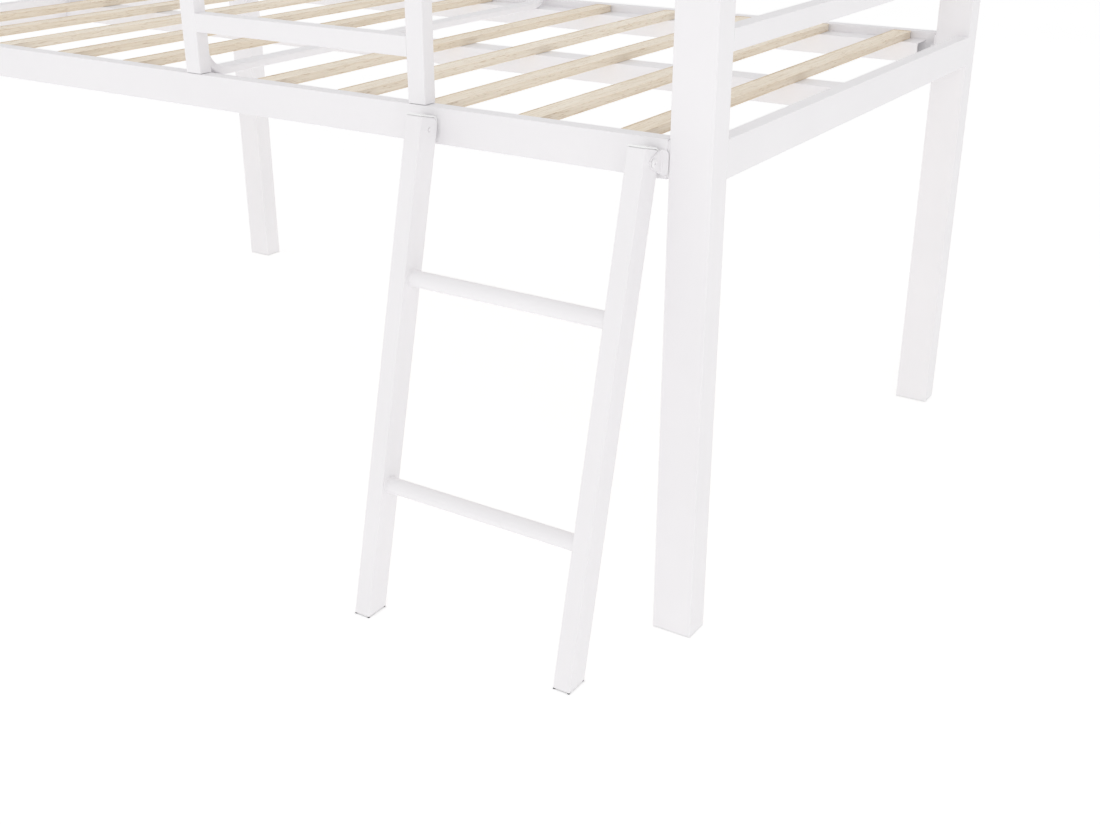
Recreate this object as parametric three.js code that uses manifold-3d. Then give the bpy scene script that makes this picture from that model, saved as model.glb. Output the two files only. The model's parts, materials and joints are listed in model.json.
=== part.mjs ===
// Metal loft bed: a tube frame with a slatted deck, guard rails round it and a ladder that leans on
// the front rail and swings on two bolts. Millimetres, +Z up, +X along the bed, front towards -Y.
// Pieces are placed in the bed's own frame: x = 0 at mid-length, y = 0 on the front faces, z = 0 on
// the floor. The last lines move the whole bed so that its box is centred on the origin.

import * as THREE from "three";
import { mergeVertices } from "three/addons/utils/BufferGeometryUtils.js";
import Module from "manifold-3d";

const wasm = await Module();
wasm.setup();

// Overall sizes
const bedLength = 1980;
const bedWidth = 1133;
const bedHeight = 1143;
const railTop = 767;
const gap = 0.3; // Left between pieces that touch

// Corner posts, with a cap on top and a glide under each
const postSizeX = 65;
const postSizeY = 46;
const postWall = 2;
const postCorner = 1.2;
const capFlange = 3;
const glideFlange = 2;
const plugDepth = 16;

// Deck rails
const railHeight = 55;
const railThick = 25;
const tubeWall = 1.5;
const tubeCorner = 1;
const flangeThick = 3;
const flangeMargin = 1; // Flange edge inside the rail's height and inside the post's width

// Bolts that hold the side rails' flanges to the posts
const boltRadius = 3.9;
const boltHoleRadius = 4.4;
const boltFromFace = 35; // From the bed's front or back face to the bolt
const hexRadius = 7.5;
const hexHeadThick = 5.3;
const hexEase = 0.6;
const nutThick = 6.5;
const nutWeld = 0.5; // How far a post's nut is sunk into the wall that it is welded to
const boltTip = 2; // How far a bolt stands out past what it goes through
const drillLength = 26; // Of the tool that cuts a bolt's hole through a wall and its nut
const washerRadius = 9;
const washerThick = 1.6;

// Tubes that carry the slats
const ledgeWidth = 50;
const ledgeHeight = 38;
const ledgeDrop = 15; // Top of the support tubes below the rails' top
const ledgeFromPost = 25; // Room for the bolt heads between a ledge's end and the post
const seatThick = 3;
const seatReach = 30; // How far a centre seat stands in from the end rail
const seatLap = 20; // How far it runs under the end rail
const seatMargin = 4; // How much wider than the centre rail it is, on each side

// Slats
const slatsPerHalf = 5;
const slatWidth = 38;
const slatThick = 14;
const slatFromMiddle = 161.5;
const slatFromEnd = 139.5;
const slatEndGap = 1; // From a slat's end to the rail beside it
const slatCorner = 4;
const slatEase = 1.2;

// Cross-beam, a flat tube whose ends turn up inside the side rails
const beamWidth = 32;
const beamThick = 13.5;
const beamFromRail = 9.5;
const beamBend = 40; // Inner radius of its two bends
const beamRise = 99; // Top of its turned-up ends above the rails
const beamEdge = 2;

// Guards
const guardPostWidth = 32;
const guardPostCorner = 1;
const guardBarHeight = 30;
const guardTopDrop = 28; // Top of the upper guard rails below the posts' tops
const frontBarLift = 68.5; // Underside of each lower bar above the rails
const frontLeftBarLift = 123;
const sideBarLift = 115;
const middleGuardX = 26.4;
const guardToLadder = 12.4; // Centre of the guard post beside the ladder, from the ladder's left face

// Ladder
const ladderClear = 346; // Between the stiles
const ladderFromPost = 13.3;
const ladderLean = THREE.MathUtils.degToRad(13.48);
const stileWidth = 28.5;
const stileDepth = 41;
const stileCorner = 1;
const stilePlugCorner = 0.75; // Corner of the plugs inside a stile
const rungRadius = 13;
const lowerRungHeight = 207;
const upperRungHeight = 524;
const padThick = 1.5;
const padPlug = 18;
const topRound = 12; // Rounding of a stile's rear top corner, cap included
const topCapThick = 3;
const plugAboveNut = 0.8; // From the pivot's nut, inside the stile, to the cap's plug

// Ladder pivot
const pivotFromRear = 18.5; // From the stile's rear face
const pivotBelowTop = 21.2; // From the top of the stile's cap
const pivotBelowRail = 28.7; // From the top of the front rail
const swingClearance = 0.9; // Between the front rail and the stile's top as the ladder swings
const pivotBoltRadius = 2.9;
const pivotHoleRadius = 3.3;
const pivotHexRadius = 5.8;
const pivotHexFlat = pivotHexRadius * Math.cos(Math.PI / 6);
const pivotNutThick = 5;
const bracketThick = 2;
const bracketHeight = 36;
const bracketDrop = 3; // Its middle below the bolt
const bracketNose = 7.5; // Radius of the ear's rounded nose about the bolt
const bracketCorner = 7;
const headRadius = 6.2;
const headThick = 3.6;
const headRim = 1.1; // Height of the head's upright rim
const headShoulder = 2.7; // Height and radius where its dome turns flatter
const headShoulderRadius = 5.3;
const headTopRadius = 3.2;

// Heights and places worked out from the sizes above
const railMiddle = railTop - railHeight / 2;
const supportTop = railTop - ledgeDrop;
const guardTop = bedHeight - guardTopDrop;
const upperBarBottom = guardTop - guardBarHeight;
const halfLength = bedLength / 2;
const postInnerX = halfLength - postSizeX;
const ladderRight = postInnerX - ladderFromPost;
const ladderX = ladderRight - stileWidth - ladderClear / 2;
const ladderLeft = ladderRight - ladderClear - 2 * stileWidth;
const guardByLadderX = ladderLeft - guardToLadder;
const pivotFromFront = stileDepth - pivotFromRear;
const roundingY = pivotFromRear - topRound;
const roundingZ = pivotBelowTop - topRound;
const pivotY = -(Math.hypot(roundingY, roundingZ) + topRound + swingClearance);
const pivotZ = railTop - pivotBelowRail;
const ladderFootY = pivotY - pivotFromFront / Math.cos(ladderLean) - pivotZ * Math.tan(ladderLean);

// Materials
const whitePaint = new THREE.MeshStandardMaterial({ color: 0xf1f0f3, roughness: 0.42, metalness: 0 });
const whitePlastic = new THREE.MeshStandardMaterial({ color: 0xecebed, roughness: 0.55, metalness: 0 });
const darkPlastic = new THREE.MeshStandardMaterial({ color: 0x3a3a3c, roughness: 0.7, metalness: 0 });
const poplar = new THREE.MeshStandardMaterial({ color: 0xe6cfa6, roughness: 0.6, metalness: 0 });
const zincSteel = new THREE.MeshStandardMaterial({ color: 0xc4c5c8, roughness: 0.35, metalness: 1 });

// Outlines and solids

function roundedRectangle(width, height, corner) {
  const x = width / 2 - corner;
  const y = height / 2 - corner;
  const outline = new THREE.Shape();
  outline.absarc(x, y, corner, 0, Math.PI / 2);
  outline.absarc(-x, y, corner, Math.PI / 2, Math.PI);
  outline.absarc(-x, -y, corner, Math.PI, 1.5 * Math.PI);
  outline.absarc(x, -y, corner, 1.5 * Math.PI, 2 * Math.PI);
  return outline;
}

function circle(radius) {
  return new THREE.Shape().absarc(0, 0, radius, 0, 2 * Math.PI);
}

function polygon(points) {
  return new THREE.Shape(points.map(([x, y]) => new THREE.Vector2(x, y)));
}

// A prism of the outline, centred on its length. An ease takes its two end edges off.
function prism(outline, length, { ease = 0, segments = 2 } = {}) {
  const geometry = new THREE.ExtrudeGeometry(outline, {
    depth: length - 2 * ease,
    curveSegments: segments,
    bevelEnabled: ease > 0,
    bevelSize: ease,
    bevelThickness: ease,
    bevelOffset: -ease,
    bevelSegments: 1,
  });
  return geometry.translate(0, 0, ease - length / 2);
}

// Turns a prism made along z to run along x or y. Its outline's two directions become y and z for
// a prism along x, and z and x for one along y.
const turnToAxis = {
  x: new THREE.Matrix4().makeBasis(
    new THREE.Vector3(0, 1, 0), new THREE.Vector3(0, 0, 1), new THREE.Vector3(1, 0, 0)),
  y: new THREE.Matrix4().makeBasis(
    new THREE.Vector3(0, 0, 1), new THREE.Vector3(1, 0, 0), new THREE.Vector3(0, 1, 0)),
  z: new THREE.Matrix4(),
};

function along(axis, geometry) {
  return geometry.applyMatrix4(turnToAxis[axis]);
}

// The width, height and length of a bar along an axis, from its sizes in x, y and z
function barSizes(axis, [x, y, z]) {
  return { x: [y, z, x], y: [z, x, y], z: [x, y, z] }[axis];
}

function bar(axis, sizes, corner) {
  const [width, height, length] = barSizes(axis, sizes);
  return along(axis, prism(roundedRectangle(width, height, corner), length));
}

// The room inside a tube of these sizes, longer than the tube so that it opens both ends
function hollow(axis, sizes, wall, corner) {
  const [width, height, length] = barSizes(axis, sizes);
  const outline = roundedRectangle(width - 2 * wall, height - 2 * wall, Math.max(corner - wall, wall / 2));
  return along(axis, prism(outline, 2 * length, { segments: 1 }));
}

function tube(axis, sizes, wall = tubeWall, corner = tubeCorner) {
  return solid(bar(axis, sizes, corner)).subtract(solid(hollow(axis, sizes, wall, corner)));
}

function rod(axis, radius, length, segments = 8) {
  return along(axis, prism(circle(radius), length, { segments }));
}

function hexagon(radius) {
  const corners = Array.from({ length: 6 }, (_, i) => [
    radius * Math.cos((i * Math.PI) / 3),
    radius * Math.sin((i * Math.PI) / 3),
  ]);
  return polygon(corners);
}

function block([sizeX, sizeY, sizeZ], [x, y, z]) {
  return new THREE.BoxGeometry(sizeX, sizeY, sizeZ).translate(x, y, z);
}

// Closed geometry to a solid that can be joined and cut, and back
function solid(geometry) {
  const bare = geometry.clone();
  bare.deleteAttribute("normal");
  bare.deleteAttribute("uv");
  const merged = mergeVertices(bare, 1e-4);
  const mesh = new wasm.Mesh({
    numProp: 3,
    vertProperties: new Float32Array(merged.attributes.position.array),
    triVerts: new Uint32Array(merged.index.array),
  });
  return new wasm.Manifold(mesh);
}

function geometryOf(shape) {
  if (shape.isBufferGeometry) {
    return shape;
  }
  const mesh = shape.getMesh();
  const geometry = new THREE.BufferGeometry();
  geometry.setAttribute("position", new THREE.BufferAttribute(mesh.vertProperties, 3));
  geometry.setIndex(new THREE.BufferAttribute(mesh.triVerts, 1));
  geometry.computeVertexNormals();
  return geometry;
}

function piece(name, shape, material, [x, y, z]) {
  const mesh = new THREE.Mesh(geometryOf(shape), material);
  mesh.name = name;
  mesh.position.set(x, y, z);
  return mesh;
}

// Ends and sides of the bed: the name's ending, and the direction outward
const ends = [["right", 1], ["left", -1]];
const sides = [["front", -1], ["back", 1]];

// The y of something that lies a distance in from the front or back face
function inFrom(side, distance) {
  return side < 0 ? distance : bedWidth - distance;
}

// Corner posts

// A post's tube, with the hole and the weld nut for its side rail's bolt, about the post's centre
function postTube(end, side, length) {
  const wallX = -end * (postSizeX / 2 - postWall / 2);
  const boltY = side * (postSizeY / 2 - boltFromFace);
  const nutX = wallX + (end * (postWall + nutThick)) / 2;
  const nut = along("x", prism(hexagon(hexRadius), nutThick)).translate(nutX - end * nutWeld, boltY, 0);
  const hole = rod("x", boltHoleRadius, drillLength).translate(nutX, boltY, 0);
  const boltLift = railMiddle - (glideFlange + gap + length / 2);
  return tube("z", [postSizeX, postSizeY, length], postWall, postCorner)
    .add(solid(nut.translate(0, 0, boltLift)))
    .subtract(solid(hole.translate(0, 0, boltLift)));
}

// A plug that closes a tube's end, with its flange up
function endPlug(sizeX, sizeY, wall, corner, flange, depth) {
  const inset = 2 * (wall + gap);
  const spigotCorner = Math.max(corner - wall, wall / 2);
  const spigot = bar("z", [sizeX - inset, sizeY - inset, depth + flange / 2], spigotCorner);
  const cover = prism(roundedRectangle(sizeX, sizeY, corner), flange, { ease: flange / 4 });
  return solid(cover.translate(0, 0, flange / 2))
    .add(solid(spigot.translate(0, 0, (flange / 2 - depth) / 2)));
}

function cornerPosts() {
  const length = bedHeight - capFlange - glideFlange - 2 * gap;
  const pieces = [];
  for (const [endName, end] of ends) {
    for (const [sideName, side] of sides) {
      const name = `${sideName}_${endName}`;
      const x = end * (halfLength - postSizeX / 2);
      const y = inFrom(side, postSizeY / 2);
      const cap = endPlug(postSizeX, postSizeY, postWall, postCorner, capFlange, plugDepth);
      const glide = endPlug(postSizeX, postSizeY, postWall, postCorner, glideFlange, plugDepth);
      const tubeMiddle = glideFlange + gap + length / 2;
      pieces.push(piece(`post_${name}`, postTube(end, side, length), whitePaint, [x, y, tubeMiddle]));
      pieces.push(piece(`post_cap_${name}`, cap, whitePlastic, [x, y, bedHeight - capFlange]));
      const foot = piece(`post_foot_${name}`, glide, whitePlastic, [x, y, glideFlange]);
      foot.rotation.x = Math.PI;
      pieces.push(foot);
    }
  }
  return pieces;
}

// Deck rails

// A side rail with a bolted flange at each end, about the rail's middle
function sideRail(side) {
  const length = 2 * (postInnerX - gap);
  const sizes = [length, railThick, railHeight];
  const flangeSizeY = postSizeY - 2 * flangeMargin;
  const flangeY = side * (railThick / 2 - flangeMargin - flangeSizeY / 2);
  const boltY = side * (railThick / 2 - boltFromFace);
  let rail = solid(bar("x", sizes, tubeCorner));
  for (const [, end] of ends) {
    const flangeX = end * (length / 2 - flangeThick / 2);
    const flange = block([flangeThick, flangeSizeY, railHeight - 2 * flangeMargin], [flangeX, flangeY, 0]);
    const hole = rod("x", boltHoleRadius, drillLength).translate(flangeX, boltY, 0);
    rail = rail.add(solid(flange)).subtract(solid(hole));
  }
  return rail.subtract(solid(hollow("x", sizes, tubeWall, tubeCorner)));
}

// An end rail with the seat for the centre rail welded under it, about the rail's middle
function endRail(end) {
  const sizes = [railThick, bedWidth - 2 * (postSizeY + gap), railHeight];
  const seatWidth = ledgeWidth + 2 * seatMargin;
  const seatX = -end * (railThick / 2 + seatReach / 2 - seatLap / 2);
  const seatTop = supportTop - ledgeHeight - gap - railMiddle;
  const seat = block([seatReach + seatLap, seatWidth, seatThick], [seatX, 0, seatTop - seatThick / 2]);
  return solid(bar("y", sizes, tubeCorner))
    .add(solid(seat))
    .subtract(solid(hollow("y", sizes, tubeWall, tubeCorner)));
}

function deckRails() {
  const pieces = [];
  for (const [name, side] of sides) {
    const place = [0, inFrom(side, railThick / 2), railMiddle];
    pieces.push(piece(`${name}_side_rail`, sideRail(side), whitePaint, place));
  }
  for (const [name, end] of ends) {
    const place = [end * (halfLength - railThick / 2), bedWidth / 2, railMiddle];
    pieces.push(piece(`${name}_end_rail`, endRail(end), whitePaint, place));
  }
  return pieces;
}

// A hexagon bolt with its washer, its head towards +x and its washer's face at x = 0
function railBolt() {
  const length = washerThick + flangeThick + 2 * gap + postWall + nutThick + boltTip;
  const washer = rod("x", washerRadius, washerThick).translate(washerThick / 2, 0, 0);
  const head = along("x", prism(hexagon(hexRadius), hexHeadThick + washerThick, { ease: hexEase }));
  const shank = rod("x", boltRadius, length, 6).translate(washerThick - length / 2, 0, 0);
  return solid(washer)
    .add(solid(head.translate((hexHeadThick + washerThick) / 2, 0, 0)))
    .add(solid(shank));
}

function railBolts() {
  const pieces = [];
  const x = postInnerX - flangeThick - 2 * gap;
  for (const [endName, end] of ends) {
    for (const [sideName, side] of sides) {
      const place = [end * x, inFrom(side, boltFromFace), railMiddle];
      const bolt = piece(`rail_bolt_${sideName}_${endName}`, railBolt(), whitePaint, place);
      bolt.rotation.z = end > 0 ? Math.PI : 0;
      pieces.push(bolt);
    }
  }
  return pieces;
}

// Tubes that carry the slats

function slatSupports() {
  const middle = supportTop - ledgeHeight / 2;
  const ledgeLength = 2 * (postInnerX - ledgeFromPost);
  const centreLength = 2 * (halfLength - railThick - gap);
  const pieces = sides.map(([name, side]) => {
    const y = inFrom(side, railThick + gap + ledgeWidth / 2);
    const ledge = tube("x", [ledgeLength, ledgeWidth, ledgeHeight]);
    return piece(`${name}_slat_ledge`, ledge, whitePaint, [0, y, middle]);
  });
  const centre = tube("x", [centreLength, ledgeWidth, ledgeHeight]);
  pieces.push(piece("centre_support_rail", centre, whitePaint, [0, bedWidth / 2, middle]));
  return pieces;
}

function slats() {
  const length = bedWidth - 2 * (railThick + slatEndGap);
  const pitch = (halfLength - slatFromMiddle - slatFromEnd) / (slatsPerHalf - 1);
  const outline = roundedRectangle(slatWidth, length, slatCorner);
  const z = supportTop + gap + slatThick / 2;
  const pieces = [];
  for (const [, end] of ends) {
    for (let i = 0; i < slatsPerHalf; i += 1) {
      const x = end * (halfLength - slatFromEnd - i * pitch);
      const number = end > 0 ? i + 1 : 2 * slatsPerHalf - i;
      const slat = prism(outline, slatThick, { ease: slatEase });
      pieces.push(piece(`slat_${number}`, slat, poplar, [x, bedWidth / 2, z]));
    }
  }
  return pieces;
}

// The cross-beam's side view, in y and z, drawn an inset inside its outer faces
function beamOutline(inset, top) {
  const front = railThick + beamFromRail + inset;
  const back = bedWidth - front;
  const bottom = supportTop + gap + inset;
  const thick = beamThick - 2 * inset;
  const outer = beamBend + thick + inset;
  const inner = beamBend + inset;
  const outline = new THREE.Shape();
  outline.moveTo(front, top);
  outline.absarc(front + outer, bottom + outer, outer, Math.PI, 1.5 * Math.PI);
  outline.absarc(back - outer, bottom + outer, outer, 1.5 * Math.PI, 2 * Math.PI);
  outline.lineTo(back, top);
  outline.lineTo(back - thick, top);
  outline.absarc(back - thick - inner, bottom + thick + inner, inner, 0, -0.5 * Math.PI, true);
  outline.absarc(front + thick + inner, bottom + thick + inner, inner, 1.5 * Math.PI, Math.PI, true);
  outline.lineTo(front + thick, top);
  outline.closePath();
  return outline;
}

function crossBeam() {
  const top = railTop + beamRise;
  const outside = along("x", prism(beamOutline(0, top), beamWidth, { ease: beamEdge, segments: 5 }));
  const room = beamOutline(tubeWall, top + beamThick);
  const inside = along("x", prism(room, beamWidth - 2 * tubeWall, { segments: 5 }));
  return piece("middle_cross_beam", solid(outside).subtract(solid(inside)), whitePaint, [0, 0, 0]);
}

// Guards

function guardPosts() {
  const bottom = railTop + gap;
  const y = railThick / 2;
  const middleTop = upperBarBottom - gap;
  const byLadderTop = guardTop - capFlange - gap;
  const middleSizes = [guardPostWidth, railThick, middleTop - bottom];
  const middle = tube("z", middleSizes, tubeWall, guardPostCorner);
  const byLadderSizes = [guardPostWidth, railThick, byLadderTop - bottom];
  const byLadder = tube("z", byLadderSizes, tubeWall, guardPostCorner);
  const cap = endPlug(guardPostWidth, railThick, tubeWall, guardPostCorner, capFlange, plugDepth);
  return [
    piece("guard_post_middle", middle, whitePaint, [middleGuardX, y, (bottom + middleTop) / 2]),
    piece("guard_post_by_ladder", byLadder, whitePaint, [guardByLadderX, y, (bottom + byLadderTop) / 2]),
    piece("guard_post_cap", cap, whitePlastic, [guardByLadderX, y, guardTop - capFlange]),
  ];
}

// A guard bar along x between two faces, on the front or back side
function guardBarX(name, side, from, to, bottom) {
  const length = to - from - 2 * gap;
  const place = [(from + to) / 2, inFrom(side, railThick / 2), bottom + guardBarHeight / 2];
  return piece(name, tube("x", [length, railThick, guardBarHeight]), whitePaint, place);
}

// A guard bar along y between the two posts of an end
function guardBarY(name, end, bottom) {
  const length = bedWidth - 2 * (postSizeY + gap);
  const place = [end * (halfLength - railThick / 2), bedWidth / 2, bottom + guardBarHeight / 2];
  return piece(name, tube("y", [railThick, length, guardBarHeight]), whitePaint, place);
}

function guardBars() {
  const middleLeft = middleGuardX - guardPostWidth / 2;
  const middleRight = middleGuardX + guardPostWidth / 2;
  const ladderSide = guardByLadderX - guardPostWidth / 2;
  const sideBarBottom = railTop + sideBarLift;
  const pieces = [
    guardBarX("front_lower_guard_bar", -1, middleRight, ladderSide, railTop + frontBarLift),
    guardBarX("front_left_guard_bar", -1, -postInnerX, middleLeft, railTop + frontLeftBarLift),
    guardBarX("front_upper_guard_rail", -1, -postInnerX, ladderSide, upperBarBottom),
    guardBarX("back_lower_guard_bar", 1, -postInnerX, postInnerX, sideBarBottom),
    guardBarX("back_upper_guard_rail", 1, -postInnerX, postInnerX, upperBarBottom),
  ];
  for (const [name, end] of ends) {
    pieces.push(guardBarY(`${name}_lower_guard_bar`, end, sideBarBottom));
    pieces.push(guardBarY(`${name}_upper_guard_rail`, end, upperBarBottom));
  }
  return pieces;
}

// Ladder, in its own frame: the origin on the pivot, z up along the stiles, y towards the bed

// The ladder frame's z of a level at a height above the floor, where it crosses a given y
function levelAt(y, height) {
  return (height - pivotZ + y * Math.sin(ladderLean)) / Math.cos(ladderLean);
}

// Everything between two heights above the floor
function betweenHeights(low, high) {
  const reach = 2 * stileDepth;
  const outline = polygon([
    [-reach, levelAt(-reach, low)],
    [reach, levelAt(reach, low)],
    [reach, levelAt(reach, high)],
    [-reach, levelAt(-reach, high)],
  ]);
  return solid(along("x", prism(outline, 4 * stileWidth)));
}

const stileMiddleY = (pivotFromRear - pivotFromFront) / 2;
const stileColumn = 2.5 * pivotZ;

// The side view of a stile's body below its cap: level at the foot, rounded at the rear of the top
function stileOutline() {
  const front = -2 * stileDepth;
  const rear = 2 * stileDepth;
  const radius = topRound - topCapThick - gap;
  const foot = padThick + gap;
  const outline = new THREE.Shape();
  outline.moveTo(front, levelAt(front, foot));
  outline.lineTo(rear, levelAt(rear, foot));
  outline.lineTo(rear, roundingZ);
  outline.absarc(roundingY, roundingZ, radius, 0, Math.PI / 2);
  outline.lineTo(front, roundingZ + radius);
  outline.closePath();
  return outline;
}

function stile() {
  const body = solid(along("x", prism(stileOutline(), 2 * stileWidth, { segments: 4 })));
  const column = tube("z", [stileWidth, stileDepth, stileColumn], tubeWall, stileCorner);
  return column
    .translate([0, stileMiddleY, 0])
    .intersect(body)
    .subtract(solid(rod("x", pivotHoleRadius, 2 * stileWidth)));
}

// The side view of the cap, which follows the top and turns down over the rounded rear corner
function topCapOutline() {
  const inner = topRound - topCapThick;
  const front = -2 * stileDepth;
  const outline = new THREE.Shape();
  outline.moveTo(front, roundingZ + inner);
  outline.absarc(roundingY, roundingZ, inner, Math.PI / 2, Math.asin(gap / inner), true);
  outline.absarc(roundingY, roundingZ, topRound, Math.asin(gap / topRound), Math.PI / 2);
  outline.lineTo(front, pivotBelowTop);
  outline.closePath();
  return outline;
}

function stileCap() {
  const column = bar("z", [stileWidth, stileDepth, 4 * pivotBelowTop], stileCorner);
  const cover = solid(column.translate(0, stileMiddleY, 0))
    .intersect(solid(along("x", prism(topCapOutline(), 2 * stileWidth, { segments: 4 }))));
  const plugFront = -pivotFromFront + tubeWall + gap;
  const plugTop = pivotBelowTop - topCapThick / 2;
  const plugBottom = pivotHexFlat + plugAboveNut;
  const plugSizes = [stileWidth - 2 * (tubeWall + gap), roundingY - plugFront, plugTop - plugBottom];
  const plug = bar("z", plugSizes, stilePlugCorner)
    .translate(0, (roundingY + plugFront) / 2, (plugTop + plugBottom) / 2);
  return cover.add(solid(plug));
}

// The pad under a stile has square corners, which stand out past the tube's rounded ones
function stilePad() {
  const column = new THREE.BoxGeometry(stileWidth, stileDepth, stileColumn);
  const inset = 2 * (tubeWall + gap);
  const plug = bar("z", [stileWidth - inset, stileDepth - inset, stileColumn], stilePlugCorner);
  const sole = solid(column).translate([0, stileMiddleY, 0]).intersect(betweenHeights(0, padThick));
  const core = solid(plug).translate([0, stileMiddleY, 0]).intersect(betweenHeights(padThick / 2, padPlug));
  return sole.add(core);
}

function ladder() {
  const frame = new THREE.Group();
  frame.position.set(ladderX, pivotY, pivotZ);
  frame.rotation.x = -ladderLean;
  for (const [name, end] of ends) {
    const x = (end * (ladderClear + stileWidth)) / 2;
    frame.add(piece(`ladder_stile_${name}`, stile(), whitePaint, [x, 0, 0]));
    frame.add(piece(`ladder_cap_${name}`, stileCap(), whitePlastic, [x, 0, 0]));
    frame.add(piece(`ladder_pad_${name}`, stilePad(), darkPlastic, [x, 0, 0]));
    frame.add(...pivotFasteners(name, end));
  }
  for (const [name, height] of [["upper", upperRungHeight], ["lower", lowerRungHeight]]) {
    const length = ladderClear - 2 * gap;
    const bore = rod("x", rungRadius - tubeWall, 2 * length, 8);
    const rung = solid(rod("x", rungRadius, length, 12)).subtract(solid(bore));
    const place = [0, stileMiddleY, levelAt(stileMiddleY, height)];
    frame.add(piece(`ladder_rung_${name}`, rung, whitePaint, place));
  }
  return frame;
}

// Ladder pivot

// The ear's outline in y and z: as high as the plate at the rail, and tapering to a round nose
function earOutline() {
  const depth = -pivotY - gap;
  const corners = [-1, 1].map((direction) => {
    const height = (direction * bracketHeight) / 2 - bracketDrop;
    const slope = Math.atan2(height, depth);
    const tangent = slope + direction * Math.acos(bracketNose / Math.hypot(height, depth));
    return { y: depth, z: height + bracketDrop, tangent };
  });
  const [low, high] = corners;
  const outline = new THREE.Shape();
  outline.moveTo(low.y, low.z);
  outline.lineTo(high.y, high.z);
  outline.absarc(0, bracketDrop, bracketNose, high.tangent, low.tangent + 2 * Math.PI);
  return outline;
}

// An angle bracket beside a stile, its ear against the stile, about the pivot's y and its own
// middle height, with the ear's inner face at x = 0. The plate lies on the front rail.
function bracket(end) {
  const plateWidth = ladderFromPost - 2 * gap;
  const plateY = -pivotY - gap - bracketThick / 2;
  const corners = roundedRectangle(2 * plateWidth, bracketHeight, bracketCorner);
  const mirrored = solid(prism(corners, bracketThick).rotateX(-Math.PI / 2).translate(0, plateY, 0));
  const half = block([2 * plateWidth, 4 * bracketHeight, 2 * bracketHeight], [end * plateWidth, 0, 0]);
  const plate = mirrored.intersect(solid(half));
  const ear = along("x", prism(earOutline(), bracketThick)).translate((end * bracketThick) / 2, 0, 0);
  return plate
    .add(solid(ear))
    .subtract(solid(rod("x", pivotHoleRadius, drillLength).translate(0, 0, bracketDrop)));
}

function brackets() {
  return ends.map(([name, end]) => {
    const earFace = ladderX + end * (ladderClear / 2 + stileWidth + gap);
    const place = [earFace, pivotY, pivotZ - bracketDrop];
    return piece(`ladder_bracket_${name}`, bracket(end), whitePaint, place);
  });
}

// A round-headed bolt with its head towards +x, the head's seat at x = 0
function pivotBolt() {
  const length = bracketThick + 2 * gap + stileWidth + boltTip;
  const profile = [
    new THREE.Vector2(0, -length),
    new THREE.Vector2(pivotBoltRadius, -length),
    new THREE.Vector2(pivotBoltRadius, 0),
    new THREE.Vector2(headRadius, 0),
    new THREE.Vector2(headRadius, headRim),
    new THREE.Vector2(headShoulderRadius, headShoulder),
    new THREE.Vector2(headTopRadius, headThick),
    new THREE.Vector2(0, headThick),
  ];
  return new THREE.LatheGeometry(profile, 24).rotateZ(-Math.PI / 2);
}

function pivotNut() {
  const body = along("x", prism(hexagon(pivotHexRadius), pivotNutThick, { ease: hexEase }));
  return solid(body).subtract(solid(rod("x", pivotHoleRadius, drillLength)));
}

// The bolt and nut of one stile, in the ladder's own frame. The nut is inside the stile, on its
// inner wall, and the bolt's head is outside the bracket's ear.
function pivotFasteners(name, end) {
  const headSeat = end * (ladderClear / 2 + stileWidth + bracketThick + 2 * gap);
  const nutMiddle = end * (ladderClear / 2 + tubeWall + gap + pivotNutThick / 2);
  const bolt = piece(`pivot_bolt_${name}`, pivotBolt(), whitePaint, [headSeat, 0, 0]);
  bolt.rotation.z = end > 0 ? 0 : Math.PI;
  return [bolt, piece(`pivot_nut_${name}`, pivotNut(), zincSteel, [nutMiddle, 0, 0])];
}

// The whole bed, centred on its box in x and y, standing on z = 0

const group = new THREE.Group();
group.add(
  ...cornerPosts(),
  ...deckRails(),
  ...railBolts(),
  ...slatSupports(),
  ...slats(),
  crossBeam(),
  ...guardPosts(),
  ...guardBars(),
  ladder(),
  ...brackets(),
);
group.position.y = -(ladderFootY + bedWidth) / 2;

export default group;
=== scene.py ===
import json
import math

import bmesh
import bpy
from mathutils import Matrix, Vector


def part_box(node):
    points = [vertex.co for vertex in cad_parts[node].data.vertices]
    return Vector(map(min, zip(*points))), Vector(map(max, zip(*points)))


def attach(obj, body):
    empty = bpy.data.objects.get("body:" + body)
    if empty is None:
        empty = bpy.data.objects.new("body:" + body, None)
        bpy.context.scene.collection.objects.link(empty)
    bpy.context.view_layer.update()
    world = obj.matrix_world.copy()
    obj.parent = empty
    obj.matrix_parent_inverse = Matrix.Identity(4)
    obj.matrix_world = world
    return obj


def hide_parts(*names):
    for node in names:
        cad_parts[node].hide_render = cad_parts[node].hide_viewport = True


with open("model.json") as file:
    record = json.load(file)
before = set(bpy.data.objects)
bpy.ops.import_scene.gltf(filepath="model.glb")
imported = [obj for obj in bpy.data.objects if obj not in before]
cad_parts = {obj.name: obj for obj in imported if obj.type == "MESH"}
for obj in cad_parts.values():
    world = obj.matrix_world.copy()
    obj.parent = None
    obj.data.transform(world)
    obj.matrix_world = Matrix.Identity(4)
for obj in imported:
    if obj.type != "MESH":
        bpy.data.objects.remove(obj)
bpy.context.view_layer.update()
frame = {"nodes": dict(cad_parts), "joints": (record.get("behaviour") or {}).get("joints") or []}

# The looks of a metal loft bed. Metres, in the frame of the CAD model: +Z up, +X along the bed, and
# the front with the ladder towards -Y. Each fine piece takes its place and size from the CAD node
# that it stands for.

# Sizes that the frame doesn't give

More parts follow.
